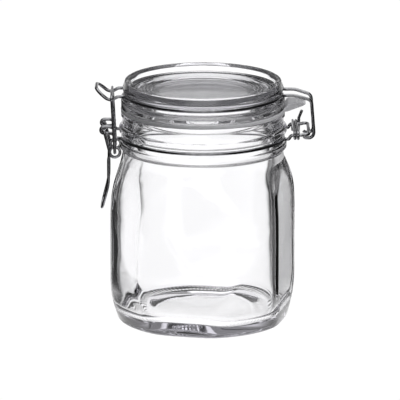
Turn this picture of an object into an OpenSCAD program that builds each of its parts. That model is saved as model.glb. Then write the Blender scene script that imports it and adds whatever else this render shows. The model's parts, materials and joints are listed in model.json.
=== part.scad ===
// Bail clamp jar: a square-shouldered glass preserving jar with a glass lid,
// a rubber seal and a sprung wire clamp.
// Origin at the centre of the base, +Z up, +X towards the lid hinge,
// -X towards the clamp lever. Millimetres.

/* [Jar body] */
// Half the distance between opposite flat sides
body_half = 51.1; // [50.5:0.1:52]
// Radius of the four upright corners
corner_r = 30; // [28:0.5:32]
// Turn of the flat sides about the upright axis, against the clamp
body_turn = -13; // [-15:1:15]
// Glass thickness of the sides
wall = 4.5; // [3.5:0.1:5]
// Glass thickness of the base
base_t = 6; // [4:0.5:8]
// How far the flat sides are drawn in at the table
heel_in = 1.2; // [0.8:0.1:2]
// How far the corners are drawn in at the table
corner_in = 8.8; // [7:0.2:10]
// Height at which the corners start to draw in
corner_in_h = 42; // [36:1:46]
// Height of the hollow under the base
push_up = 1.4; // [0.8:0.1:2]

/* [Neck] */
// Radius of the narrowest part of the shoulder
waist_r = 48; // [47:0.1:48.4]
// Height of the narrowest part of the shoulder
waist_z = 103.5; // [102:0.1:104]
// Height of the sealing face at the mouth
mouth_z = 127.2; // [127:0.1:127.4]
// Inner radius of the mouth
mouth_r = 42; // [41.5:0.1:42.5]
// Radius of the beads on the neck
bead_r = 50; // [49.6:0.1:50.2]
// Radius at the bottom of the wire groove
groove_r = 48.9; // [48:0.1:48.9]

/* [Lid and seal] */
// Radius of the lid flange and of the seal
flange_r = 48.9; // [48:0.1:49]
// Thickness of the seal
seal_t = 2.2; // [1.8:0.1:2.4]
// Inner radius of the seal
seal_in_r = 40.4; // [40.2:0.1:41.6]
// Radius of the plug under the lid
plug_r = 39.4; // [38.5:0.1:39.6]
// Height of the top of the lid
lid_top_z = 145.4; // [145:0.1:146]
// Height of the floor of the dish in the lid
dish_z = 139.6; // [139:0.1:140.5]
// Number of rings moulded in the dish
dish_rings = 5; // [3:1:5]

/* [Wires] */
// Diameter of the neck wire and of the lid wire
wire_d = 2.0; // [1.8:0.05:2.05]
// Diameter of the lever, link and binding wire
thin_d = 1.8; // [1.6:0.05:1.85]
// Radius of the lid wire's ring, at the wire's centre
lid_ring_r = 47.2; // [47.15:0.05:47.3]
// Height of the lid wire's ring
lid_ring_z = 138; // [137.95:0.05:138.05]
// Radius of the neck wire's ring, at the wire's centre
neck_ring_r = 50; // [49.95:0.05:50.1]
// Height of the neck wire's ring
neck_ring_z = 112.8; // [112.6:0.1:113]

/* [Hinge and clamp] */
// Distance of the lid hinge from the jar's axis
hinge_x = 62.8; // [62.6:0.1:63.2]
// Height of the lid hinge
hinge_z = 115.6; // [115.4:0.1:115.8]
// Distance of the lever's pivot from the jar's axis
lever_x = 58.8; // [58.7:0.1:58.9]
// Height of the lever's pivot
lever_z = 117.2; // [117.1:0.1:117.3]
// Distance of the lever's coil from the jar's axis
coil_x = 52.4; // [52.3:0.1:52.6]
// Height of the lever's coil
coil_z = 104; // [103.8:0.1:104.2]
// Radius of the lever's coil, at the wire's centre
coil_r = 3.0; // [2.8:0.1:3]
// Height of the end of the lever's handle
handle_z = 68; // [64:1:72]

/* [Hidden] */
$fn = 96;

gap = 0.05;                              // clearance between stacked pieces
core = body_half - corner_r;             // centre of each corner arc
seal_z = mouth_z + gap;                  // underside of the seal
flange_z = seal_z + seal_t + gap;        // underside of the lid flange
glass = [0.86, 0.92, 0.93, 0.45];
steel = [0.42, 0.42, 0.45];

// ---- vectors ----
function unit(v) = v / norm(v);
function flip_y(p) = [p[0], -p[1], p[2]];
function reversed(a) = [for (i = [len(a) - 1 : -1 : 0]) a[i]];

// ---- bent wire ----
step_in = 0.02;                          // a straight run is this much thinner
nip = 0.05;                              // and enters the bends by this much
// A straight run of wire of length l from p, in direction v
module run(p, v, l, d)
    translate(p - v * nip)
        rotate([0, acos(v[2]), atan2(v[1], v[0])])
            cylinder(d = d - step_in, h = l + 2 * nip, $fn = 32);

// Distance from a bend's corner to where the bend starts
function bend_t(a, b, c, r) =
    let (k = unit(a - b) * unit(c - b)) r / tan(acos(max(-1, min(1, k))) / 2);

// One bend of radius r at corner b, between the runs from a and to c
module bend(a, b, c, r, d) {
    u = unit(a - b);
    v = unit(c - b);
    half = acos(max(-1, min(1, u * v))) / 2;
    mid = b + unit(u + v) * r / sin(half);
    x = unit(b + u * r / tan(half) - mid);
    z = unit(cross(v, u));
    y = cross(z, x);
    multmatrix([[x[0], y[0], z[0], mid[0]],
                [x[1], y[1], z[1], mid[1]],
                [x[2], y[2], z[2], mid[2]],
                [0, 0, 0, 1]])
        rotate_extrude(angle = 180 - 2 * half)
            translate([r, 0]) circle(d = d, $fn = 32);
}

// A wire through corner points p, with bend radius r[i] at each inner corner
module wire(p, r, d) {
    n = len(p);
    function t(i) = i == 0 || i == n - 1 ? 0 : bend_t(p[i - 1], p[i], p[i + 1], r[i]);
    for (i = [0 : n - 2])
        let (v = unit(p[i + 1] - p[i]), l = norm(p[i + 1] - p[i]) - t(i) - t(i + 1)) {
            assert(l > 0, str("bends overlap at corner ", i, " by ", -l));
            run(p[i] + v * t(i), v, l, d);
        }
    for (i = [1 : n - 2]) bend(p[i - 1], p[i], p[i + 1], r[i], d);
}

// Where a strand at distance w from the middle leaves a ring of radius r,
// with a sweep of radius f between them: [distance along X, angle on the ring]
function leave(r, w, f) =
    let (x = sqrt(pow(r + f, 2) - pow(w + f, 2))) [x, atan2(w + f, x)];

// An arc of wire in a level plane about [x, y], a hair short at both ends
module level_arc(x, y, z, r, a0, a1, d) {
    e = nip / 2 / r * 180 / PI;
    translate([x, y, z]) rotate([0, 0, a0 + e])
        rotate_extrude(angle = a1 - a0 - 2 * e)
            translate([r, 0]) circle(d = d, $fn = 32);
}

// One side of a ring (y > 0), swept out into strands at +X and -X
module half_ring(r, z, w_hinge, w_clamp, f, d) {
    h = leave(r, w_hinge, f);
    c = leave(r, w_clamp, f);
    level_arc(0, 0, z, r, h[1], 180 - c[1], d);
    level_arc(h[0], w_hinge + f, z, f, 180 + h[1], 270, d);
    level_arc(-c[0], w_clamp + f, z, f, 270, 360 - c[1], d);
    for (a = [h[1], 180 - c[1]])         // joins ring and sweep
        rotate([0, 0, a]) translate([r, 0, z]) rotate([90, 0, 0])
            cylinder(d = d - step_in, h = 4 * nip, center = true, $fn = 32);
}

// ---- glass ----
// Plan of the body: a square with round corners
module plan(half, r) {
    square([2 * half, 2 * (half - r)], center = true);
    square([2 * (half - r), 2 * half], center = true);
    for (x = [-1, 1], y = [-1, 1])
        translate([x, y] * (half - r)) circle(r = r, $fn = 128);
}

// How far the heel is drawn in at height z, for a heel of depth d and height h
function heel(z, d, h) = z >= h ? 0 : d * pow(1 - z / h, 2);
function heel_side(half, d, h, z0, z1, n = 7) = concat(
    [for (i = [0 : n]) let (z = h * pow(i / n, 1.6)) [half - heel(z, d, h), z0 + z]],
    [[half, z1]]);

// A loaf across the body: the upright profile of two opposite sides
module loaf(side, long) {
    p = concat(side, [for (q = reversed(side)) [-q[0], q[1]]]);
    rotate([90, 0, 0]) translate([0, 0, -long]) linear_extrude(2 * long) polygon(p);
}

// A square-sided body with a drawn-in heel, under a turned profile
module square_body(half, r, side, turned) {
    intersection() {
        translate([0, 0, side[0][1]])
            linear_extrude(mouth_z + 10) plan(half, r);
        loaf(side, half + 5);
        rotate([0, 0, 90]) loaf(side, half + 5);
        rotate_extrude($fn = 180) polygon(turned);
    }
}

reach = core * sqrt(2);                  // corner arc's centre from the axis
neck_r = flange_r - 0.8;                 // neck between its bead and its lip

// Shoulder of a turned outline: from the corners in to a waist of radius r at z
function shoulder(r, z, wide, low = 70, n = 11) = [for (i = [0 : n])
    let (t = i / n) [r + (wide - r) * pow(1 - pow(t, 1.6), 1.5), low + (z - low) * t]];

// Side outline of the outside or, with in > 0, of the hollow
function side(half, d, h, z0, in) = concat(
    heel_side(half, d, h, z0, 64 - in),
    [[half - 0.3, 73 - in], [half - 0.6, 79 - in], [half - 1.2, 86 - in],
     [half - 1.8, 91 - in], [half - 2, 94 - in], [half - 1.8, mouth_z + 5]]);

outer_side = side(body_half, heel_in, 14, 0, 0);
// The turned outline of the outside, from the table to the mouth
outer_turned = concat(
    [[0, 0]],
    [[body_half - heel_in - 1.4, 0]],
    [for (i = [0 : 10]) let (z = 1 + (corner_in_h - 1) * pow(i / 10, 1.6))
        [reach + corner_r - heel(z, corner_in, corner_in_h) + (i == 10 ? 1.5 : 0), z]],
    shoulder(waist_r, waist_z, reach + corner_r + 1.5),
    [[waist_r, waist_z + 1.2], [bead_r - 0.5, 105.9], [bead_r, 106.8],
     [bead_r, 107.8], [bead_r - 0.4, 108.7], [groove_r, 109.9],
     [groove_r, 114.2], [bead_r - 0.4, 114.9], [bead_r, 115.7],
     [bead_r, 117.2], [bead_r - 0.5, 118.1], [neck_r, 119.2], [neck_r, mouth_z - 3.6],
     [neck_r + 0.4, mouth_z - 2.8], [flange_r, mouth_z - 2.3], [flange_r, mouth_z - 0.8],
     [flange_r - 0.7, mouth_z], [0, mouth_z]]);

inner_side = side(body_half - wall, 7, 14, base_t, 2);
inner_turned = concat(
    [[0, base_t]],
    [for (i = [0 : 10]) let (z = corner_in_h * pow(i / 10, 1.6))
        [reach + corner_r - wall - heel(z, corner_in + 4, corner_in_h) + (i == 10 ? 1 : 0), base_t + z]],
    shoulder(waist_r - wall, waist_z - 1, reach + corner_r - wall + 1, 68),
    [[mouth_r, 108.5], [mouth_r, mouth_z + 1], [0, mouth_z + 1]]);

module jar_body() {
    color(glass)
        rotate([0, 0, body_turn])
            difference() {
                square_body(body_half, corner_r, outer_side, outer_turned);
                square_body(body_half - wall, corner_r - wall, inner_side, inner_turned);
                translate([0, 0, -1]) cylinder(r1 = 38.5, r2 = 36, h = 1 + push_up);
            }
}

// ---- lid ----
ring_pitch = 2;
function dish_bumps() = [for (i = [dish_rings - 1 : -1 : 0])
    let (r = 31 + ring_pitch * i)
    each [[r + 0.75, dish_z], [r + 0.3, dish_z + 0.55],
          [r - 0.3, dish_z + 0.55], [r - 0.75, dish_z]]];

module lid() {
    neck = lid_ring_r - wire_d / 2 - gap;    // bottom of the lid's wire groove
    lo = lid_ring_z - wire_d / 2 - 0.1;      // sides of that groove
    hi = lid_ring_z + wire_d / 2 + 0.1;
    color(glass)
        rotate_extrude($fn = 180)
            polygon(concat(
                [[0, dish_z - 5], [26, dish_z - 5.2], [32, dish_z - 6], [35, flange_z + 1.5],
                 [36.2, flange_z - 1.4], [37.4, flange_z - 2.2], [38.4, flange_z - 2.2],
                 [plug_r, flange_z - 1.2], [plug_r, flange_z],
                 [flange_r - 0.6, flange_z], [flange_r, flange_z + 0.6],
                 [flange_r, lo - 1.6], [flange_r - 0.5, lo - 0.7], [flange_r - 1.4, lo],
                 [neck, lo], [neck, hi], [47.3, hi + 0.2], [48, hi + 1.2], [48, hi + 2.6],
                 [47.4, hi + 4.4], [46.9, lid_top_z - 0.6], [46.2, lid_top_z],
                 [45.2, lid_top_z - 0.3], [43.6, lid_top_z - 1.8], [43, lid_top_z - 2.6],
                 [41.4, dish_z + 0.6], [40.4, dish_z]],
                dish_bumps(),
                [[30, dish_z - 0.1], [0, dish_z - 0.3]]));
}

// ---- seal ----
module gasket() {
    top = seal_z + seal_t;
    color([0.9, 0.9, 0.9, 0.8])
        difference() {
            union() {
                translate([0, 0, seal_z]) cylinder(r = flange_r, h = seal_t, $fn = 180);
                // pull tab: flat in the joint, then thicker and rising outside it
                intersection() {
                    translate([0, 0, seal_z]) linear_extrude(10)
                        polygon([[42, -4.5], [49, -4.5], [60, -3.2], [61.1, -1.6],
                                 [61.1, 8.2], [60, 10], [49, 12.5], [42, 12.5]]);
                    rotate([90, 0, 0]) translate([0, 0, -20]) linear_extrude(40)
                        polygon([[42, seal_z], [50, seal_z], [61.2, seal_z + 3.8],
                                 [61.2, seal_z + 5.4], [50.6, seal_z + 4.9],
                                 [49.6, seal_z + 4.3], [49.3, top], [42, top]]);
                }
            }
            translate([0, 0, seal_z - 1]) cylinder(r = seal_in_r, h = seal_t + 2, $fn = 180);
        }
}

// ---- lid wire: ring, beak and two hinge hooks ----
beak_w = 10.9;
hinge_w = 8;
lid_sweep = 4;
module lid_wire() {
    h = leave(lid_ring_r, hinge_w, lid_sweep);
    c = leave(lid_ring_r, beak_w, lid_sweep);
    eye = 3.2;
    eye_x = hinge_x - 0.1;
    eye_z = hinge_z - 0.6;
    hook = [[h[0], hinge_w, lid_ring_z], [h[0] + 5, hinge_w, lid_ring_z],
            [hinge_x + 1.6, 7.4, lid_ring_z - 3.0],
            [eye_x + eye, 7, eye_z + 1.2], [eye_x + eye, 7, eye_z - eye],
            [eye_x - eye * 0.6, 7, eye_z - eye], [eye_x - eye * 0.86, 7, eye_z - eye * 0.7]];
    beak = [[-c[0], beak_w, lid_ring_z], [-50.6, beak_w, lid_ring_z],
            [-54.4, beak_w, lid_ring_z - 2.1], [-57.2, beak_w, lid_ring_z - 1.3],
            [-63.4, beak_w, lid_ring_z + 4.0]];
    color(steel) {
        for (m = [0, 1]) mirror([0, m, 0]) {
            half_ring(lid_ring_r, lid_ring_z, hinge_w, beak_w, lid_sweep, wire_d);
            wire(hook, [0, 12, 3.5, 10, eye - 0.01, 2, 0], wire_d);
        }
        wire(concat(beak, reversed([for (p = beak) flip_y(p)])),
             [0, 3, 3, 5, 6.5, 6.5, 5, 3, 3, 0], wire_d);
    }
}

// ---- neck wire: ring, hinge bar and two lever eyes ----
strand_w = 14;
eye_w = 11.4;
neck_sweep = 3;
strand_z = hinge_z - 0.4;
module neck_wire() {
    h = leave(neck_ring_r, strand_w, neck_sweep);
    c = leave(neck_ring_r, eye_w, neck_sweep);
    r = (wire_d + thin_d) / 2 + 0.05;      // the eyes fit the lever's pins
    hinge = [[h[0], strand_w, neck_ring_z], [h[0] + 0.7, strand_w, neck_ring_z],
             [h[0] + 2.2, strand_w, strand_z], [58.5, strand_w, strand_z],
             [60, strand_w, hinge_z], [hinge_x, strand_w, hinge_z]];
    // a strand runs out, turns back over itself round the lever's pivot and ends
    tail = [[-c[0], eye_w, neck_ring_z], [-c[0] - 0.9, eye_w, neck_ring_z],
            [-53.8, 10, lever_z - r], [-56.2, 9.3, lever_z - r],
            [-lever_x - r, 9.3, lever_z - r], [-lever_x - r, 9.3, lever_z + r],
            [-55.4, 9.3, lever_z + r], [-52.2, 9.3, lever_z + r - 1.2]];
    color(steel) {
        for (m = [0, 1]) mirror([0, m, 0]) {
            half_ring(neck_ring_r, neck_ring_z, strand_w, eye_w, neck_sweep, wire_d);
            wire(tail, [0, 1.5, 1.5, 1.5, r - 0.01, r - 0.01, 4, 0], wire_d);
        }
        wire(concat(hinge, reversed([for (p = hinge) flip_y(p)])),
             [0, 1.2, 2.2, 2, 2, 2.2, 2.2, 2, 2, 2.2, 1.2, 0], wire_d);
    }
}

// ---- binding: a tie wound round both hinge strands ----
module hinge_binding() {
    r = (wire_d + thin_d) / 2 + 0.1;
    y = strand_w + r;
    top = strand_z + r;
    low = strand_z - r;
    color(steel)
        wire([[53.6, 7, low], [53.6, y, low], [53.6, y, top], [54.5, -y, top],
              [54.5, -y, low], [55.5, y, low], [55.5, y, top], [56.4, -y, top],
              [56.4, -y, low], [57.4, y, low], [57.4, y, top + 1.2],
              [59.2, y - 1.5, top + 6.2]],
             [0, r - 0.02, r - 0.02, r - 0.02, r - 0.02, r - 0.02, r - 0.02,
              r - 0.02, r - 0.02, r - 0.02, 1.5, 0], thin_d);
}

// ---- lever: two pivot pins, two coils and the handle ----
arm_w = 11.5;
pull_w = 9.55;
module lever() {
    x = -coil_x;
    r = coil_r;
    step = (arm_w - pull_w) / 4;
    half = [[-lever_x, 7.4, lever_z], [-lever_x, arm_w, lever_z],
            [x - r, arm_w, coil_z + 2.5],
            [x - r, arm_w, coil_z - r], [x + r, arm_w - step, coil_z - r],
            [x + r, arm_w - 2 * step, coil_z + r], [x - r, arm_w - 3 * step, coil_z + r],
            [x - r, pull_w, coil_z - 0.6], [-56.3, pull_w, coil_z - 5],
            [-56.3, pull_w, 84], [-60.4, pull_w - 1, handle_z]];
    color(steel)
        wire(concat(half, reversed([for (p = half) flip_y(p)])),
             [0, 1.6, 5, r - 0.2, r - 0.2, r - 0.2, r - 0.25, 4, 3, 30, 7.5,
              7.5, 30, 3, 4, r - 0.25, r - 0.2, r - 0.2, r - 0.2, 5, 1.6, 0], thin_d);
}

// ---- link: the bail that pulls the beak down ----
link_w = 13.7;
link_top = [-54.2, lid_ring_z + 0.35];
module link() {
    half = [[-coil_x, 8, coil_z], [-coil_x, link_w, coil_z],
            [link_top[0], link_w, link_top[1]]];
    color(steel)
        wire(concat(half, reversed([for (p = half) flip_y(p)])),
             [0, 1.6, 2.6, 2.6, 1.6, 0], thin_d);
}

jar_body();
lid();
gasket();
lid_wire();
neck_wire();
hinge_binding();
lever();
link();
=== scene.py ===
"""Looks for the bail clamp jar: smooth glass, seal and wires round the CAD frame."""
import json
import math

import bmesh
import bpy
import numpy as np
from mathutils import Matrix, Vector


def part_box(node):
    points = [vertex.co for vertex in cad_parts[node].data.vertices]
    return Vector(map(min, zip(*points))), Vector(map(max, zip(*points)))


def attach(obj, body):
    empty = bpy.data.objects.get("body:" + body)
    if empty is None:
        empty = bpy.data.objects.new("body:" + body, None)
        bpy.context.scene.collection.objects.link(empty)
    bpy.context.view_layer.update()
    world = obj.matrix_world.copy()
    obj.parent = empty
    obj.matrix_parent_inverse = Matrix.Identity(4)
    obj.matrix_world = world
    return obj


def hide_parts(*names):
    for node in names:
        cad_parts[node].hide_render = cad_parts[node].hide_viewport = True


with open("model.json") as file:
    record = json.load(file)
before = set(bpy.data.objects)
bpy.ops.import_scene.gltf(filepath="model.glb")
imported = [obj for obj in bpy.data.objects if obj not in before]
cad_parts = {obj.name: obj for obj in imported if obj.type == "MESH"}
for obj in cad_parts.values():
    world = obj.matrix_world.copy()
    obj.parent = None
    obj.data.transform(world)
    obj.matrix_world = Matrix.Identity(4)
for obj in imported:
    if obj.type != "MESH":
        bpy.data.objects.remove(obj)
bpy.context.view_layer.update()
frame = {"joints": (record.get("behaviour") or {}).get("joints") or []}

MM = 0.001

# ---------------------------------------------------------------- datums
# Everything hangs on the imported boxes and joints. Lengths below are in mm.
def mm_box(node):
    lo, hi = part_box(node)
    return [c / MM for c in lo], [c / MM for c in hi]


JAR_LO, JAR_HI = mm_box("jar_body")
LID_LO, LID_HI = mm_box("lid")
SEAL_LO, SEAL_HI = mm_box("gasket")
LW_LO, LW_HI = mm_box("lid_wire")
NW_LO, NW_HI = mm_box("neck_wire")
HB_LO, HB_HI = mm_box("hinge_binding")
LV_LO, LV_HI = mm_box("lever")
LK_LO, LK_HI = mm_box("link")
PIVOT = {j["name"]: [c / MM for c in j["pos_m"]] for j in frame["joints"]}

MOUTH = JAR_HI[2]                       # sealing face
LID_TOP = LID_HI[2]
FLANGE_R = (SEAL_HI[1] - SEAL_LO[1]) / 2
SEAL_Z0 = SEAL_LO[2]
SEAL_Z1 = SEAL_Z0 + 2.2                  # top of the flat seal; its box also holds the raised tab
HINGE = PIVOT["lid_hinge"]
LEVER = PIVOT["lever_pivot"]
COIL = PIVOT["link_pivot"]
TURN = math.radians(-13.0)              # the body's flats against the clamp


# ---------------------------------------------------------------- mesh help
def new_object(name, verts, faces, smooth=True):
    me = bpy.data.meshes.new(name)
    me.from_pydata([tuple(v) for v in verts], [], faces)
    me.validate()
    bm = bmesh.new()
    bm.from_mesh(me)
    bmesh.ops.recalc_face_normals(bm, faces=bm.faces[:])
    vol = bm.calc_volume(signed=True)
    if vol < 0:
        bmesh.ops.reverse_faces(bm, faces=bm.faces[:])
    bm.to_mesh(me)
    bm.free()
    if smooth:
        me.polygons.foreach_set("use_smooth", [True] * len(me.polygons))
    me.update()
    ob = bpy.data.objects.new(name, me)
    bpy.context.scene.collection.objects.link(ob)
    return ob


def loft(name, rings, close_start=True, close_end=True, flat=None):
    """Rings of equal length, each an (n, 3) array in mm, joined in order. The ends close on their centres."""
    n = len(rings[0])
    verts = np.concatenate(rings) * MM
    verts = [tuple(v) for v in verts]
    faces = []
    j = np.arange(n)
    k = (j + 1) % n
    for i in range(len(rings) - 1):
        a, b = i * n, (i + 1) * n
        faces += [tuple(f) for f in np.stack([a + j, a + k, b + k, b + j], 1).tolist()]
    if close_start:
        c = len(verts)
        verts.append(tuple(np.mean(rings[0], 0) * MM))
        faces += [(int(y), int(x), c) for x, y in zip(j, k)]
    if close_end:
        a = (len(rings) - 1) * n
        c = len(verts)
        verts.append(tuple(np.mean(rings[-1], 0) * MM))
        faces += [(int(a + x), int(a + y), c) for x, y in zip(j, k)]
    return new_object(name, verts, faces)


def loop_loft(name, rings):
    """Rings joined in order, with the last joined to the first, such as the section of a seal."""
    n, m = len(rings[0]), len(rings)
    verts = [tuple(v) for v in np.concatenate(rings) * MM]
    faces = []
    j = np.arange(n)
    k = (j + 1) % n
    for i in range(m):
        a, b = i * n, ((i + 1) % m) * n
        faces += [tuple(f) for f in np.stack([a + j, a + k, b + k, b + j], 1).tolist()]
    return new_object(name, verts, faces)


def rounded(points, radii, step=9.0, closed=False):
    """A line through points with its corners turned on arcs, in 2D or 3D."""
    p = [np.array(q, float) for q in points]
    n = len(p)
    out = []
    for i in range(n):
        r = radii[i]
        if (not closed and i in (0, n - 1)) or r <= 0:
            out.append(p[i])
            continue
        a, c = p[(i - 1) % n], p[(i + 1) % n]
        u = (a - p[i]) / np.linalg.norm(a - p[i])
        v = (c - p[i]) / np.linalg.norm(c - p[i])
        half = math.acos(max(-1, min(1, float(u @ v)))) / 2
        if half > math.radians(89.7):
            out.append(p[i])
            continue
        mid = p[i] + (u + v) / np.linalg.norm(u + v) * r / math.sin(half)
        s = p[i] + u * r / math.tan(half) - mid
        e = p[i] + v * r / math.tan(half) - mid
        turn = math.pi - 2 * half
        m = max(2, int(math.degrees(turn) / step) + 1)
        for t in np.linspace(0, 1, m + 1):
            w = (math.sin((1 - t) * turn) * s + math.sin(t * turn) * e) / math.sin(turn) if abs(math.sin(turn)) > 1e-6 else None
            if w is None:
                x = s / np.linalg.norm(s)
                y = -(u - (u @ x) * x)
                y /= np.linalg.norm(y)
                w = r * (math.cos(t * turn) * x + math.sin(t * turn) * y)
            out.append(mid + w)
    clean = [out[0]]
    for q in out[1:]:
        if np.linalg.norm(q - clean[-1]) > 1e-4:
            clean.append(q)
    return clean


def tube(name, path, d, sides=20, nose=0.3):
    """A wire of diameter d along a path in mm, with softened cut ends."""
    p = [np.array(q, float) for q in path]
    t = [p[1] - p[0]] + [p[i + 1] - p[i - 1] for i in range(1, len(p) - 1)] + [p[-1] - p[-2]]
    t = [x / np.linalg.norm(x) for x in t]
    x = np.cross(t[0], [0.31, 0.2, 0.93])
    x /= np.linalg.norm(x)
    rings, r = [], d / 2
    a = np.linspace(0, 2 * math.pi, sides, endpoint=False)

    def ring(c, x, y, r):
        return c + r * (np.outer(np.cos(a), x) + np.outer(np.sin(a), y))

    frames = []
    for i, q in enumerate(p):
        x = x - (x @ t[i]) * t[i]
        x /= np.linalg.norm(x)
        frames.append((q, x, np.cross(t[i], x)))
    c, fx, fy = frames[0]
    for w in np.radians([0, 30, 60, 90]):
        rings.append(ring(c + t[0] * nose * r * (1 - math.cos(w)), fx, fy, r * (1 - nose + nose * math.sin(w))))
    for c, fx, fy in frames[1:-1]:
        rings.append(ring(c, fx, fy, r))
    c, fx, fy = frames[-1]
    for w in np.radians([90, 60, 30, 0]):
        rings.append(ring(c - t[-1] * nose * r * (1 - math.cos(w)), fx, fy, r * (1 - nose + nose * math.sin(w))))
    return loft(name, rings)


# ---------------------------------------------------------------- jar body
HALF, CORNER, WALL, BASE = 51.1, 30.0, 4.5, 6.0
REACH = (HALF - CORNER) * math.sqrt(2) + CORNER      # corners, from the axis
WAIST_R, WAIST_Z = 48.0, 103.5
BEAD_R, GROOVE_R, MOUTH_R = 50.0, 48.9, 42.0


def square_r(th, a, c):
    """Distance from the axis to a square with half side a and corner radius c, at angle th."""
    f = np.mod(th, math.pi / 2)
    f = np.where(f > math.pi / 4, math.pi / 2 - f, f)
    k = a - c
    flat = a / np.cos(f)
    on_flat = flat * np.sin(f) <= k
    uc = k * (np.cos(f) + np.sin(f))
    arc = uc + np.sqrt(np.maximum(uc * uc - 2 * k * k + c * c, 0))
    return np.where(on_flat, flat, arc)


def smin(a, b, k):
    h = np.clip(0.5 + 0.5 * (b - a) / k, 0, 1)
    return b * (1 - h) + a * h - k * h * (1 - h)


def heel(z, d, h):
    return 0.0 if z >= h else d * (1 - max(z, 0) / h) ** 2


def shoulder_r(z, waist, waist_z, wide, low):
    if z <= low:
        return wide
    t = min((z - low) / (waist_z - low), 1)
    return waist + (wide - waist) * (1 - t ** 1.6) ** 1.5


def lean(z, cut=0.0):
    """How far the flat sides lean in under the shoulder."""
    return float(np.interp(z + cut, [58, 66, 73, 79, 86, 91, 96, 200], [0, 0.06, 0.3, 0.65, 1.3, 2.0, 2.6, 2.6]))


NECK = rounded(
    [(WAIST_R, 98.5), (WAIST_R, 105.2), (BEAD_R, 105.6), (BEAD_R, 108.6), (GROOVE_R, 109.4),
     (GROOVE_R, 114.6), (BEAD_R, 115.2), (BEAD_R, 117.8), (48.1, 118.8), (48.1, MOUTH - 3.2),
     (FLANGE_R, MOUTH - 2.5), (FLANGE_R, MOUTH), (46.2, MOUTH), (45.4, MOUTH - 0.5), (44.2, MOUTH - 0.5),
     (43.5, MOUTH), (MOUTH_R, MOUTH), (MOUTH_R, MOUTH - 6)],
    [0, 2.0, 0.9, 0.9, 0.8, 0.8, 0.9, 0.9, 1.0, 0.5, 0.5, 0.8, 0.3, 0.3, 0.3, 0.3, 1.2, 0], step=15)

N = 720
TH = np.linspace(0, 2 * math.pi, N, endpoint=False)


def outside(z):
    """The outside of the body at height z: flats, round corners, drawn-in foot and shoulder."""
    cut = heel(z, 1.2, 14) + lean(z)
    r = square_r(TH, HALF - cut, CORNER - cut)
    if z < 46:
        r = smin(r, REACH - heel(z, 8.8, 42), 3.0 * max(0.02, 1 - z / 46))
    return smin(r, shoulder_r(z, WAIST_R, WAIST_Z, REACH + 1.5, 70), 4.0 * min(1, max(0.0, (z - 55) / 15)))


def hollow(z):
    """The inside of the body at height z, above its rounded floor."""
    cut = lean(z, 2)
    r = square_r(TH, HALF - WALL - cut, CORNER - WALL - cut)
    if z < 46:
        r = smin(r, REACH - WALL - heel(z - 4, 9.5, 40), 3.0 * max(0.02, 1 - z / 46))
    rev = shoulder_r(z, WAIST_R - WALL, WAIST_Z - 1, REACH - WALL + 1, 68)
    if z >= WAIST_Z - 1:
        rev = float(np.interp(z, [WAIST_Z - 1, 109], [WAIST_R - WALL, MOUTH_R]))
    return smin(r, rev, 4.0 * min(1, max(0.0, (z - 52) / 15)))


def jar_rings():
    rings = []
    ca, sa = np.cos(TH + TURN), np.sin(TH + TURN)

    def add(r, z):
        r = np.broadcast_to(r, (N,))
        z = np.broadcast_to(z, (N,))
        rings.append(np.stack([r * ca, r * sa, z], 1))

    # underside: shallow hollow, then the flat it stands on, with its grip ticks
    edge = 2.4
    foot = outside(edge) - edge
    tick = 0.5 + 0.5 * np.cos(TH * 120)
    tick = np.clip((tick - 0.45) * 3.2, 0, 1)
    for t in np.concatenate([np.linspace(0.03, 0.66, 12), np.linspace(0.69, 0.83, 8)]):
        z = 1.5 * (1 - np.clip((t - 0.62) / 0.21, 0, 1)) ** 2 * (1 + 0.25 * (1 - t / 0.66 if t < 0.66 else 0))
        add(t * (foot * min(1, t * 1.2) + 40 * (1 - min(1, t * 1.2))), z)
    for t, s in ((0.845, 0), (0.86, 1), (0.885, 1), (0.91, 1), (0.935, 1), (0.96, 1), (0.975, 0), (1.0, 0)):
        add(t * foot, 0.35 * (1 - tick) * s)
    for a in np.radians([18, 36, 54, 72, 90]):
        add(foot + edge * np.sin(a), edge * (1 - np.cos(a)))
    # heel and sides
    for z in list(np.linspace(3.2, 20, 12)) + list(np.linspace(23, 64, 14)) + list(np.linspace(67, 98.5, 30)):
        add(outside(z), z)
    for r, z in NECK[1:-1]:
        add(r if z >= WAIST_Z else np.minimum(outside(z), 99), z)
    # bore of the neck and the hollow
    for z in np.linspace(MOUTH - 5, 109, 8):
        add(MOUTH_R, z)
    for z in list(np.linspace(107, 67, 34)) + list(np.linspace(63, 18, 15)):
        add(hollow(z), z)
    # its floor curves up into the sides with no sharp turn
    tall = 10.0
    wide = hollow(BASE + tall)
    for t in [0.998, 0.992, 0.982, 0.968, 0.95, 0.93, 0.905, 0.88, 0.85, 0.82, 0.78, 0.74, 0.69, 0.62, 0.54, 0.44, 0.33, 0.2, 0.07]:
        add(t * wide, BASE + tall * (1 - math.sqrt(1 - t ** 10)))
    return rings


jar = loft("jar_glass", jar_rings())

# ---------------------------------------------------------------- lid
LZ = SEAL_Z1 + 0.05                     # underside of the flange
WIRE_Z = LZ + 8.5                       # lid wire's ring
GR = 46.15
DISH = LID_TOP - 5.8


def ring_bumps():
    out, rad = [], []
    for i in range(5):
        r = 39.2 - 2 * i
        out += [(r + 0.95, DISH), (r, DISH + 0.75), (r - 0.95, DISH)]
        rad += [0.5, 0.45, 0.5]
    return out, rad


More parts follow.
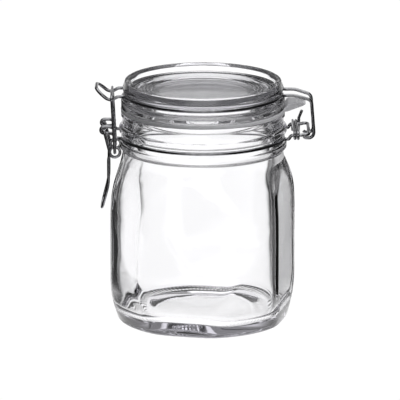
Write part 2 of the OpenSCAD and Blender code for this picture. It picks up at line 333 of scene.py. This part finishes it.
BP, BR = ring_bumps()
lid_profile = rounded(
    [(0.4, DISH - 5.0), (26, DISH - 5.2), (32.5, DISH - 6.2), (35.2, LZ + 1.2), (36.4, LZ - 2.2), (39.4, LZ - 2.2),
     (39.4, LZ), (FLANGE_R, LZ), (FLANGE_R, WIRE_Z - 2.2),
     (47.6, WIRE_Z - 1.15), (GR, WIRE_Z - 1.15), (GR, WIRE_Z + 1.1), (47.6, WIRE_Z + 1.2), (48.0, WIRE_Z + 3.4),
     (46.9, LID_TOP - 0.9), (46.5, LID_TOP), (45.4, LID_TOP), (43.1, LID_TOP - 2.2), (41.3, DISH)]
    + BP + [(29.6, DISH), (28.6, DISH - 0.25), (0.4, DISH - 0.5)],
    [0, 6, 4, 3, 1.0, 1.0, 0.8, 0.8, 1.2, 0.6, 0.4, 0.4, 0.7, 2.2, 0.4, 0.35, 0.5, 1.2, 1.4]
    + BR + [0.4, 0.6, 0], step=12)
M = 384
PH = np.linspace(0, 2 * math.pi, M, endpoint=False)
lid_obj = loft("lid_glass", [np.stack([r * np.cos(PH), r * np.sin(PH), np.full(M, z)], 1) for r, z in lid_profile])

# ---------------------------------------------------------------- seal
def poly_r(th, pts):
    """Distance from the axis to a star-shaped outline through pts, at each angle."""
    ang = np.array([math.atan2(y, x) for x, y in pts])
    rad = np.array([math.hypot(x, y) for x, y in pts])
    out = np.zeros(len(th))
    t = (th + math.pi) % (2 * math.pi) - math.pi
    for i in range(len(pts) - 1):
        m = (t >= ang[i]) & (t <= ang[i + 1])
        (x0, y0), (x1, y1) = pts[i], pts[i + 1]
        dx, dy = x1 - x0, y1 - y0
        c, s = np.cos(t[m]), np.sin(t[m])
        out[m] = (x0 * dy - y0 * dx) / (c * dy - s * dx)
    return np.maximum(out, 0)


def seal_rings():
    fine = np.radians(np.linspace(-12, 22, 300))
    rest = np.radians(np.linspace(22, 348, 420)[1:-1])
    th = np.concatenate([fine, rest])
    tip = SEAL_HI[0] - 0.05
    tab = rounded([(46.2, -4.8), (tip - 1.1, -3.2), (tip, -1.6), (tip, 8.2), (tip - 1.1, 10), (46.2, 13.3)],
                  [0, 1.6, 1.6, 1.6, 1.6, 0], step=8)
    out = smax(np.full(len(th), FLANGE_R), poly_r(th, [(x, y) for x, y in tab]), 1.0)
    inner, c = 40.4, 0.45
    z0, flat = SEAL_Z0, 2.2

    def low(x):
        return z0 + 3.8 * np.clip((x - 50) / 11.2, 0, 1)

    def high(x):
        # flat in the joint, then a thicker tab with two grip ribs
        rib = 0.28 * (np.exp(-((x - 55.6) / 0.5) ** 2) + np.exp(-((x - 57.6) / 0.5) ** 2) + np.exp(-((x - 59.6) / 0.5) ** 2))
        return z0 + np.interp(x, [48.95, 49.9, 50.8, 61.2], [flat, 4.2, 4.7, 5.1]) + rib

    rings = []

    def add(r, f):
        # f is 0 on the underside and 1 on top
        r = np.broadcast_to(r, (len(th),))
        x = np.where(r > 48.9, r * np.cos(th), 0)
        z = low(x) * (1 - f) + high(x) * f
        rings.append(np.stack([r * np.cos(th), r * np.sin(th), z], 1))

    across = [inner + c + (47.6 - inner - c) * k / 4 for k in range(4)]
    steps = [k / 22 for k in range(23)]
    for r in across:
        add(r, 1.0)
    for u in steps:
        add(47.6 + (out - c - 47.6) * u, 1.0)
    for a in np.radians([25, 50, 70, 90]):
        add(out - c + c * np.sin(a), 1 - 0.2 * (1 - np.cos(a)))
    for f in (0.65, 0.5, 0.35):
        add(out, f)
    for a in np.radians([90, 70, 50, 25]):
        add(out - c + c * np.sin(a), 0.2 * (1 - np.cos(a)))
    for u in reversed(steps):
        add(47.6 + (out - c - 47.6) * u, 0.0)
    for r in reversed(across):
        add(r, 0.0)
    for a in np.radians([30, 60, 90]):
        add(inner + c - c * np.sin(a), 0.2 * (1 - np.cos(a)))
    add(inner, 0.5)
    for a in np.radians([90, 60, 30]):
        add(inner + c - c * np.sin(a), 1 - 0.2 * (1 - np.cos(a)))
    return rings


def smax(a, b, k):
    return -smin(-a, -b, k)


seal = loop_loft("seal", seal_rings())

# ---------------------------------------------------------------- wires
THICK, THIN = 2.0, 1.8


def flip(p):
    return (p[0], -p[1], p[2])


def whole(half):
    """A wire whose second half mirrors the first across the jar."""
    return half + [flip(q) for q in reversed(half)]


def both(path):
    p = [tuple(q) for q in path]
    m = [flip(q) for q in reversed(p)]
    if np.linalg.norm(np.array(p[-1]) - np.array(m[0])) < 1e-3:
        m = m[1:]
    return p + m


def leave(r, w, f):
    x = math.sqrt((r + f) ** 2 - (w + f) ** 2)
    return x, math.atan2(w + f, x)


def arc(cx, cy, z, r, a0, a1, step):
    n = max(2, int(abs(a1 - a0) / math.radians(step)) + 1)
    return [(cx + r * math.cos(a), cy + r * math.sin(a), z) for a in np.linspace(a0, a1, n + 1)]


def half_ring(r, z, w_hinge, w_clamp, f):
    """From the hinge strand round the +Y side to the clamp strand."""
    hx, ha = leave(r, w_hinge, f)
    cx, ca = leave(r, w_clamp, f)
    pts = arc(hx, w_hinge + f, z, f, math.radians(270), math.pi + ha, 8)
    pts += arc(0, 0, z, r, ha, math.pi - ca, 2.2)[1:]
    pts += arc(-cx, w_clamp + f, z, f, 2 * math.pi - ca, math.radians(270), 8)[1:]
    return hx, cx, pts


# lid wire
RING_R = GR + 1.05
hx, cx, ring = half_ring(RING_R, WIRE_Z, 8, 10.9, 4)
eye, eye_x, eye_z = 3.2, HINGE[0] - 0.1, HINGE[2] - 0.6
hook = [(hx, 8, WIRE_Z), (hx + 5, 8, WIRE_Z), (HINGE[0] + 1.6, 7.4, WIRE_Z - 3.0), (eye_x + eye, 7, eye_z + 1.2),
        (eye_x + eye, 7, eye_z - eye), (eye_x - eye * 0.6, 7, eye_z - eye), (eye_x - eye * 0.86, 7, eye_z - eye * 0.7)]
hook = rounded(hook, [0, 12, 3.5, 10, eye - 0.01, 2, 0], step=8)
beak = [(-cx, 10.9, WIRE_Z), (-50.6, 10.9, WIRE_Z), (-54.4, 10.9, WIRE_Z - 2.1), (-57.2, 10.9, WIRE_Z - 1.3), (-63.4, 10.9, WIRE_Z + 4.0)]
beak = rounded(beak + [flip(q) for q in reversed(beak)], [0, 3, 3, 5, 6.5, 6.5, 5, 3, 3, 0], step=8)
path = [tuple(q) for q in reversed(hook)][:-1] + ring[:-1] + [tuple(q) for q in beak] + [flip(q) for q in reversed(ring)][1:] + [flip(q) for q in hook][1:]
lid_wire = tube("lid_wire_steel", path, THICK)

# neck wire
NZ = NW_LO[2] + THICK / 2
strand_z = HINGE[2] - 0.4
hx, cx, ring = half_ring(50.0, NZ, 14, 11.4, 3)
hinge = [(hx, 14, NZ), (hx + 0.7, 14, NZ), (hx + 2.2, 14, strand_z), (58.5, 14, strand_z), (60, 14, HINGE[2]), (HINGE[0], 14, HINGE[2])]
hinge = rounded(hinge + [flip(q) for q in reversed(hinge)], [0, 1.2, 2.2, 2, 2, 2.2, 2.2, 2, 2, 2.2, 1.2, 0], step=8)
r = (THICK + THIN) / 2 + 0.05
tail = rounded([(-cx, 11.4, NZ), (-cx - 0.9, 11.4, NZ), (-53.8, 10, LEVER[2] - r), (-56.2, 9.3, LEVER[2] - r),
                (LEVER[0] - r, 9.3, LEVER[2] - r), (LEVER[0] - r, 9.3, LEVER[2] + r), (-55.4, 9.3, LEVER[2] + r),
                (-52.2, 9.3, LEVER[2] + r - 1.2)], [0, 1.5, 1.5, 1.5, r - 0.01, r - 0.01, 4, 0], step=8)
path = [tuple(q) for q in reversed(tail)][:-1] + list(reversed(ring))[:-1] + [tuple(q) for q in hinge] + [flip(q) for q in ring][1:] + [flip(q) for q in tail][1:]
neck_wire = tube("neck_wire_steel", path, THICK)

# binding
r = (THICK + THIN) / 2 + 0.1
y, top, low = 14 + r, strand_z + r, strand_z - r
path = rounded([(53.6, 7, low), (53.6, y, low), (53.6, y, top), (54.5, -y, top), (54.5, -y, low), (55.5, y, low),
                (55.5, y, top), (56.4, -y, top), (56.4, -y, low), (57.4, y, low), (57.4, y, top + 1.2),
                (59.2, y - 1.5, top + 6.2)], [0] + [r - 0.02] * 9 + [1.5, 0], step=8)
binding = tube("hinge_binding_steel", path, THIN, nose=0.15)

# lever, with true coils
cx, cz, cr = COIL[0], COIL[2], 3.0
px, pz = LEVER[0], LEVER[2]


def tangent_angle(qx, qz, side):
    """Angle round the coil where a line from (qx, qz) touches it, on the -X side."""
    d = math.hypot(qx - cx, qz - cz)
    base = math.atan2(qz - cz, qx - cx)
    off = math.acos(cr / d)
    return base + side * off


a0 = tangent_angle(px, pz, 1) % (2 * math.pi)
hx_, hz_ = -56.3, cz - 5
a1 = tangent_angle(hx_, hz_ - 1, -1) % (2 * math.pi) + 2 * math.pi
coil = []
for a in np.linspace(a0, a1, 44):
    s = (a - a0) / (a1 - a0)
    coil.append((cx + cr * math.cos(a), 11.5 - 1.95 * s, cz + cr * math.sin(a)))
start = rounded([(px, 7.4, pz), (px, 11.5, pz), coil[0]], [0, 1.6, 0], step=8)
grip = [coil[-1], (hx_, 9.55, hz_), (hx_, 9.55, 84), (-60.4, 8.55, 68)]
grip = rounded(grip + [flip(q) for q in reversed(grip)], [0, 3, 30, 7.5, 7.5, 30, 3, 0], step=5)
path = [tuple(q) for q in start][:-1] + coil[:-1] + [tuple(q) for q in grip] + [flip(q) for q in reversed(coil)][1:] + [flip(q) for q in reversed(start)][1:]
lever = tube("lever_steel", path, THIN)

# link
path = [(COIL[0], 8, COIL[2]), (COIL[0], 13.7, COIL[2]), (-54.2, 13.7, WIRE_Z + 0.35)]
path = rounded(path + [flip(q) for q in reversed(path)], [0, 1.6, 2.6, 2.6, 1.6, 0], step=8)
link = tube("link_steel", path, THIN)


# ---------------------------------------------------------------- materials
def material(name):
    m = bpy.data.materials.new(name)
    m.use_nodes = True
    m.node_tree.nodes.clear()
    return m, m.node_tree.nodes, m.node_tree.links


def glass_material(name, tint, rough, wave, fine, density, disc=None):
    m, n, l = material(name)
    out = n.new("ShaderNodeOutputMaterial")
    p = n.new("ShaderNodeBsdfPrincipled")
    p.inputs["Base Color"].default_value = (*tint, 1)
    p.inputs["Roughness"].default_value = rough
    p.inputs["IOR"].default_value = 1.51
    p.inputs["Transmission Weight"].default_value = 1.0
    co = n.new("ShaderNodeTexCoord")
    # slow waviness of pressed glass, and a finer skin
    a = n.new("ShaderNodeTexNoise")
    a.inputs["Scale"].default_value = 38
    a.inputs["Detail"].default_value = 1.5
    b = n.new("ShaderNodeTexNoise")
    b.inputs["Scale"].default_value = 260
    b.inputs["Detail"].default_value = 2
    l.new(co.outputs["Object"], a.inputs["Vector"])
    l.new(co.outputs["Object"], b.inputs["Vector"])
    b1 = n.new("ShaderNodeBump")
    b1.inputs["Strength"].default_value = wave
    b1.inputs["Distance"].default_value = 0.002
    b2 = n.new("ShaderNodeBump")
    b2.inputs["Strength"].default_value = fine
    b2.inputs["Distance"].default_value = 0.0002
    l.new(a.outputs["Fac"], b1.inputs["Height"])
    l.new(b.outputs["Fac"], b2.inputs["Height"])
    l.new(b1.outputs["Normal"], b2.inputs["Normal"])
    l.new(b2.outputs["Normal"], p.inputs["Normal"])
    l.new(p.outputs["BSDF"], out.inputs["Surface"])
    if disc:
        # the pressed disc of the lid is finely textured, and its clear glass is tinted grey as painted shade for the
        # darker look seen through it, greyer than its rim
        radius, height, grey = disc
        s_ = n.new("ShaderNodeSeparateXYZ")
        l.new(co.outputs["Object"], s_.inputs["Vector"])
        flat = n.new("ShaderNodeCombineXYZ")
        l.new(s_.outputs["X"], flat.inputs["X"])
        l.new(s_.outputs["Y"], flat.inputs["Y"])
        ln = n.new("ShaderNodeVectorMath")
        ln.operation = "LENGTH"
        l.new(flat.outputs["Vector"], ln.inputs[0])
        near = n.new("ShaderNodeMapRange")
        near.inputs["From Min"].default_value = radius - 0.001
        near.inputs["From Max"].default_value = radius + 0.0005
        near.inputs["To Min"].default_value = 1.0
        near.inputs["To Max"].default_value = 0.0
        l.new(ln.outputs["Value"], near.inputs["Value"])
        top = n.new("ShaderNodeMath")
        top.operation = "GREATER_THAN"
        l.new(s_.outputs["Z"], top.inputs[0])
        top.inputs[1].default_value = height
        both_ = n.new("ShaderNodeMath")
        both_.operation = "MULTIPLY"
        l.new(near.outputs["Result"], both_.inputs[0])
        l.new(top.outputs["Value"], both_.inputs[1])
        cm = n.new("ShaderNodeMix")
        cm.data_type = "RGBA"
        l.new(both_.outputs["Value"], cm.inputs[0])
        cm.inputs[6].default_value = (*tint, 1)
        cm.inputs[7].default_value = (*grey, 1)
        l.new(cm.outputs[2], p.inputs["Base Color"])
        rm = n.new("ShaderNodeMath")
        rm.operation = "MULTIPLY"
        l.new(both_.outputs["Value"], rm.inputs[0])
        rm.inputs[1].default_value = 0.16
        l.new(rm.outputs["Value"], p.inputs["Roughness"])
    ab = n.new("ShaderNodeVolumeAbsorption")
    ab.inputs["Color"].default_value = (0.895, 0.89, 0.91, 1)
    ab.inputs["Density"].default_value = density
    l.new(ab.outputs["Volume"], out.inputs["Volume"])
    return m


def steel_material(name):
    m, n, l = material(name)
    out = n.new("ShaderNodeOutputMaterial")
    p = n.new("ShaderNodeBsdfPrincipled")
    p.inputs["Metallic"].default_value = 1.0
    co = n.new("ShaderNodeTexCoord")
    t = n.new("ShaderNodeTexNoise")
    t.inputs["Scale"].default_value = 420
    t.inputs["Detail"].default_value = 5
    l.new(co.outputs["Object"], t.inputs["Vector"])
    cr_ = n.new("ShaderNodeValToRGB")
    cr_.color_ramp.elements[0].position = 0.32
    cr_.color_ramp.elements[0].color = (0.26, 0.26, 0.27, 1)
    cr_.color_ramp.elements[1].position = 0.68
    cr_.color_ramp.elements[1].color = (0.46, 0.46, 0.48, 1)
    l.new(t.outputs["Fac"], cr_.inputs["Fac"])
    l.new(cr_.outputs["Color"], p.inputs["Base Color"])
    mr = n.new("ShaderNodeMapRange")
    mr.inputs["To Min"].default_value = 0.10
    mr.inputs["To Max"].default_value = 0.20
    l.new(t.outputs["Fac"], mr.inputs["Value"])
    l.new(mr.outputs["Result"], p.inputs["Roughness"])
    f = n.new("ShaderNodeTexNoise")
    f.inputs["Scale"].default_value = 1800
    f.inputs["Detail"].default_value = 3
    l.new(co.outputs["Object"], f.inputs["Vector"])
    b = n.new("ShaderNodeBump")
    b.inputs["Strength"].default_value = 0.25
    b.inputs["Distance"].default_value = 0.00004
    l.new(f.outputs["Fac"], b.inputs["Height"])
    l.new(b.outputs["Normal"], p.inputs["Normal"])
    l.new(p.outputs["BSDF"], out.inputs["Surface"])
    return m


def seal_material(name):
    m, n, l = material(name)
    out = n.new("ShaderNodeOutputMaterial")
    p = n.new("ShaderNodeBsdfPrincipled")
    p.inputs["Roughness"].default_value = 0.38
    p.inputs["IOR"].default_value = 1.41
    p.inputs["Transmission Weight"].default_value = 0.45
    p.inputs["Subsurface Weight"].default_value = 0.0
    co = n.new("ShaderNodeTexCoord")
    t = n.new("ShaderNodeTexNoise")
    t.inputs["Scale"].default_value = 90
    t.inputs["Detail"].default_value = 4
    l.new(co.outputs["Object"], t.inputs["Vector"])
    r_ = n.new("ShaderNodeValToRGB")
    r_.color_ramp.elements[0].color = (0.60, 0.60, 0.62, 1)
    r_.color_ramp.elements[1].color = (0.72, 0.72, 0.74, 1)
    l.new(t.outputs["Fac"], r_.inputs["Fac"])
    l.new(r_.outputs["Color"], p.inputs["Base Color"])
    f = n.new("ShaderNodeTexNoise")
    f.inputs["Scale"].default_value = 900
    l.new(co.outputs["Object"], f.inputs["Vector"])
    b = n.new("ShaderNodeBump")
    b.inputs["Strength"].default_value = 0.3
    b.inputs["Distance"].default_value = 0.0001
    l.new(f.outputs["Fac"], b.inputs["Height"])
    l.new(b.outputs["Normal"], p.inputs["Normal"])
    tr = n.new("ShaderNodeBsdfTranslucent")
    tr.inputs["Color"].default_value = (0.85, 0.85, 0.86, 1)
    mix = n.new("ShaderNodeMixShader")
    mix.inputs["Fac"].default_value = 0.4
    l.new(p.outputs["BSDF"], mix.inputs[1])
    l.new(tr.outputs["BSDF"], mix.inputs[2])
    l.new(mix.outputs["Shader"], out.inputs["Surface"])
    return m


GLASS = glass_material("jar_glass_mat", (0.99, 0.99, 0.993), 0.0, 0.05, 0.0, 45)
# the lid's disc gets a grey tint (0.60) that paints in shade; its extra roughness is the pressed texture
LID_GLASS = glass_material("lid_glass_mat", (0.985, 0.985, 0.99), 0.01, 0.05, 0.02, 35,
                           disc=(41.5 * MM, (DISH - 1.2) * MM, (0.60, 0.60, 0.62)))
STEEL = steel_material("wire_steel_mat")
SEAL = seal_material("seal_mat")

for ob, mat, body, node, slot in (
    (jar, GLASS, "jar", "jar_body", "glass"),
    (lid_obj, LID_GLASS, "lid", "lid", "lid_glass"),
    (seal, SEAL, "lid", "gasket", "seal"),
    (lid_wire, STEEL, "lid", "lid_wire", "wire"),
    (neck_wire, STEEL, "jar", "neck_wire", "wire"),
    (binding, STEEL, "jar", "hinge_binding", "wire"),
    (lever, STEEL, "lever", "lever", "wire"),
    (link, STEEL, "link", "link", "wire"),
):
    ob.data.materials.append(mat)
    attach(ob, body)
    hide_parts(node)

# ---------------------------------------------------------------- stage
# A plain pale floor and a soft studio that turns with the camera: a light backdrop behind
# the jar, darker sides that draw its edges, a grey ceiling and one soft light overhead.
def smooth_step(n, l, x, lo, hi, out_lo, out_hi):
    m = n.new("ShaderNodeMapRange")
    m.interpolation_type = "SMOOTHSTEP"
    m.inputs["From Min"].default_value = lo
    m.inputs["From Max"].default_value = hi
    m.inputs["To Min"].default_value = out_lo
    m.inputs["To Max"].default_value = out_hi
    l.new(x, m.inputs["Value"])
    return m.outputs["Result"]


def math_node(n, l, op, a, b=None):
    m = n.new("ShaderNodeMath")
    m.operation = op
    for i, v in enumerate((a, b)):
        if v is None:
            continue
        if isinstance(v, (int, float)):
            m.inputs[i].default_value = v
        else:
            l.new(v, m.inputs[i])
    return m.outputs["Value"]


def seen_from_camera(n, l, vector):
    """Across (left to right), away (level, from the camera) and up parts of a world vector."""
    t = n.new("ShaderNodeVectorTransform")
    t.vector_type = "VECTOR"
    t.convert_from, t.convert_to = "CAMERA", "WORLD"
    t.inputs["Vector"].default_value = (1, 0, 0)
    right = t.outputs["Vector"]
    f = n.new("ShaderNodeVectorMath")
    f.operation = "CROSS_PRODUCT"
    f.inputs[0].default_value = (0, 0, 1)
    l.new(right, f.inputs[1])
    out = []
    for v in (right, f.outputs["Vector"]):
        d = n.new("ShaderNodeVectorMath")
        d.operation = "DOT_PRODUCT"
        l.new(vector, d.inputs[0])
        l.new(v, d.inputs[1])
        out.append(d.outputs["Value"])
    s_ = n.new("ShaderNodeSeparateXYZ")
    l.new(vector, s_.inputs["Vector"])
    return out[0], out[1], s_.outputs["Z"]


SIDE_DARK, CEILING, FRONT, OVERHEAD = 0.03, 0.26, 0.18, 1.6

# The floor glows instead of being lit: to the camera it is an even white, and as a light on the jar it is a bright
# strip in line with the camera between dark sides.
bpy.ops.mesh.primitive_circle_add(vertices=96, radius=0.9, fill_type="NGON", location=(0, 0, -0.0002))
floor = bpy.context.object
floor.name = "floor"
fm, n, l = material("floor_mat")
out = n.new("ShaderNodeOutputMaterial")
geo = n.new("ShaderNodeNewGeometry")
lp = n.new("ShaderNodeLightPath")
across, away, up = seen_from_camera(n, l, geo.outputs["Position"])
# the bright strip of floor widens away from the jar, so the jar's edges stay dark down to its heel
strip = math_node(n, l, "ADD", math_node(n, l, "MULTIPLY", math_node(n, l, "MAXIMUM", away, 0.0), 0.12), 0.050)
lit = smooth_step(n, l, math_node(n, l, "DIVIDE", math_node(n, l, "ABSOLUTE", across), strip), 1.0, 1.55, 1.20, 0.03)
lit = math_node(n, l, "MULTIPLY", lit, smooth_step(n, l, away, -0.20, -0.04, 0.45, 1.0))
mixv = n.new("ShaderNodeMix")
mixv.data_type = "FLOAT"
l.new(lp.outputs["Is Camera Ray"], mixv.inputs[0])
l.new(lit, mixv.inputs[2])
mixv.inputs[3].default_value = 1.02
em = n.new("ShaderNodeEmission")
em.inputs["Color"].default_value = (1, 1, 1, 1)
l.new(mixv.outputs[0], em.inputs["Strength"])
clear = n.new("ShaderNodeBsdfTransparent")
ms = n.new("ShaderNodeMixShader")
l.new(geo.outputs["Backfacing"], ms.inputs["Fac"])
l.new(em.outputs["Emission"], ms.inputs[1])
l.new(clear.outputs["BSDF"], ms.inputs[2])
l.new(ms.outputs["Shader"], out.inputs["Surface"])
floor.data.materials.append(fm)

world = bpy.data.worlds.new("studio")
bpy.context.scene.world = world
world.use_nodes = True
n, l = world.node_tree.nodes, world.node_tree.links
n.clear()
out = n.new("ShaderNodeOutputWorld")
bg = n.new("ShaderNodeBackground")
tc = n.new("ShaderNodeTexCoord")
lp = n.new("ShaderNodeLightPath")
across, away, up = seen_from_camera(n, l, tc.outputs["Generated"])
w = smooth_step(n, l, math_node(n, l, "ABSOLUTE", across), 0.40, 0.75, 1.0, SIDE_DARK)
w = math_node(n, l, "MULTIPLY", w, smooth_step(n, l, up, 0.02, 0.16, 1.0, CEILING))
w = math_node(n, l, "MULTIPLY", w, smooth_step(n, l, away, -0.35, 0.15, FRONT, 1.0))
w = math_node(n, l, "ADD", w, smooth_step(n, l, up, 0.72, 0.90, 0.0, OVERHEAD))
# a softbox low behind the camera, which draws a bright line along the level wires
box = math_node(n, l, "MULTIPLY", smooth_step(n, l, up, 0.03, 0.10, 0.0, 1.0), smooth_step(n, l, up, 0.40, 0.50, 1.0, 0.0))
box = math_node(n, l, "MULTIPLY", box, smooth_step(n, l, away, -0.93, -0.80, 1.5, 0.0))
w = math_node(n, l, "ADD", w, box)
mixv = n.new("ShaderNodeMix")
mixv.data_type = "FLOAT"
l.new(lp.outputs["Is Camera Ray"], mixv.inputs[0])
l.new(w, mixv.inputs[2])
mixv.inputs[3].default_value = 1.0
bg.inputs["Color"].default_value = (1, 1, 1, 1)
l.new(mixv.outputs[0], bg.inputs["Strength"])
l.new(bg.outputs["Background"], out.inputs["Surface"])


def area(name, loc, target, size, power):
    d = bpy.data.lights.new(name, "AREA")
    d.shape = "RECTANGLE"
    d.size, d.size_y = size
    d.energy = power
    o = bpy.data.objects.new(name, d)
    o.location = loc
    o.rotation_mode = "QUATERNION"
    o.rotation_quaternion = (Vector(target) - Vector(loc)).to_track_quat("-Z", "Y")
    o.visible_glossy = False
    o.visible_transmission = False
    bpy.context.scene.collection.objects.link(o)
    return o


area("key", (0.8, -0.6, 0.7), (0, 0, 0.1), (0.5, 0.5), 16)
area("fill", (-0.8, -0.7, 0.8), (0, 0, 0.1), (0.5, 0.5), 3)

# ---------------------------------------------------------------- camera
EL, DIST, SPAN = math.radians(15.0), 2.9, 0.2395
target = Vector((-0.0018, 0, 0.07165))
cam_data = bpy.data.cameras.new("camera")
cam = bpy.data.objects.new("camera", cam_data)
bpy.context.scene.collection.objects.link(cam)
cam.location = target + Vector((0, -math.cos(EL), math.sin(EL))) * DIST
cam.rotation_mode = "QUATERNION"
cam.rotation_quaternion = (target - cam.location).to_track_quat("-Z", "Y")
cam_data.sensor_width = 36
cam_data.lens = 36 * DIST / SPAN
cam_data.clip_start, cam_data.clip_end = 0.01, 20
bpy.context.scene.camera = cam
bpy.context.scene.view_settings.view_transform = "Standard"
bpy.context.scene.cycles.max_bounces = 24
bpy.context.scene.cycles.transmission_bounces = 20
bpy.context.scene.cycles.glossy_bounces = 8
bpy.context.scene.cycles.transparent_max_bounces = 16
bpy.context.scene.cycles.caustics_refractive = True
bpy.context.scene.cycles.caustics_reflective = False
